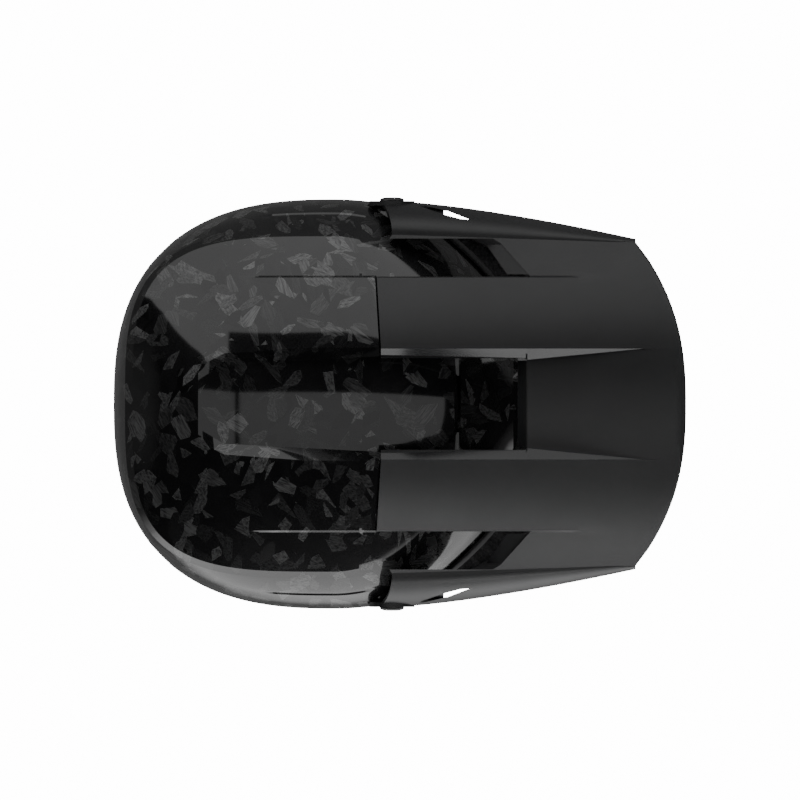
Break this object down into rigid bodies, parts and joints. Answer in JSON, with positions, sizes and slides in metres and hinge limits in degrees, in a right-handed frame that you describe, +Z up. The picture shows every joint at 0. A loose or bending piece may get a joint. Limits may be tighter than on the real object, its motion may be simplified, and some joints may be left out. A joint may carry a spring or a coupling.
{
  "type": "full-face mountain bike helmet",
  "caption": "Full-face mountain bike helmet with a tilting visor, chin bar, lined head cavity, vent grilles and a chin strap closed through double rings.",
  "frame": {"origin": "centre of the helmet's overall box, at the flat lower face of the base edging on which it stands", "axes": "+X to the front, +Y to the wearer's left, +Z up"},
  "size_m": [0.355, 0.2566, 0.2497],
  "materials": {
    "shell_carbon": "clear-coated forged carbon, black with grey flakes",
    "visor_matte": "matte black moulding",
    "liner_foam": "expanded polystyrene foam, fine beads",
    "edging_rubber": "satin black rubber",
    "grille_plastic": "matte black moulding",
    "filter_foam": "open-cell filter foam",
    "pad_fabric": "brushed knit over soft foam",
    "webbing": "ribbed polyester webbing",
    "fastener_steel": "satin steel",
    "bush_alloy": "turned alloy",
    "screw_black": "black anodised",
    "plate_plastic": "plain moulded nylon"
  },
  "bodies": {
    "helmet": {"outer_shell": "shell_carbon", "crown_liner": "liner_foam", "side_liner": "liner_foam", "chin_liner": "liner_foam", "eye_port_edging": "edging_rubber", "base_edging": "edging_rubber", "chin_grille": "grille_plastic", "chin_filter": "filter_foam", "rear_grille_left": "grille_plastic", "rear_grille_right": "grille_plastic", "crown_pad": "pad_fabric", "brow_pad": "pad_fabric", "rear_pad": "pad_fabric", "neck_roll": "pad_fabric", "cheek_pad_left": "pad_fabric", "cheek_pad_right": "pad_fabric", "cheek_plate_left": "plate_plastic", "cheek_plate_right": "plate_plastic", "visor_insert_left": "fastener_steel", "visor_insert_right": "fastener_steel", "visor_screw_left": "screw_black", "visor_screw_right": "screw_black", "strap_left": "webbing", "strap_right": "webbing", "strap_anchor_left": "plate_plastic", "strap_anchor_right": "plate_plastic", "strap_rivets": "fastener_steel", "ring_loop": "webbing", "strap_snap": "plate_plastic"},
    "visor": {"visor": "visor_matte", "visor_bush_left": "bush_alloy", "visor_bush_right": "bush_alloy"},
    "upper_ring": {"d_ring_upper": "fastener_steel"},
    "lower_ring": {"d_ring_lower": "fastener_steel"}
  },
  "joints": [
    {"name": "visor_tilt", "type": "hinge", "parent": "helmet", "child": "visor", "pos_m": [-0.005, 0, 0.155], "axis": [0, -1, 0], "range_deg": [-10, 0]},
    {"name": "upper_ring_swing", "type": "hinge", "parent": "helmet", "child": "upper_ring", "pos_m": [-0.046, 0.033, 0.017], "axis": [-1, 0, 0], "range_deg": [0, 60]},
    {"name": "lower_ring_swing", "type": "hinge", "parent": "helmet", "child": "lower_ring", "pos_m": [-0.046, 0.033, 0.0114], "axis": [-1, 0, 0], "range_deg": [0, 1]}
  ]
}
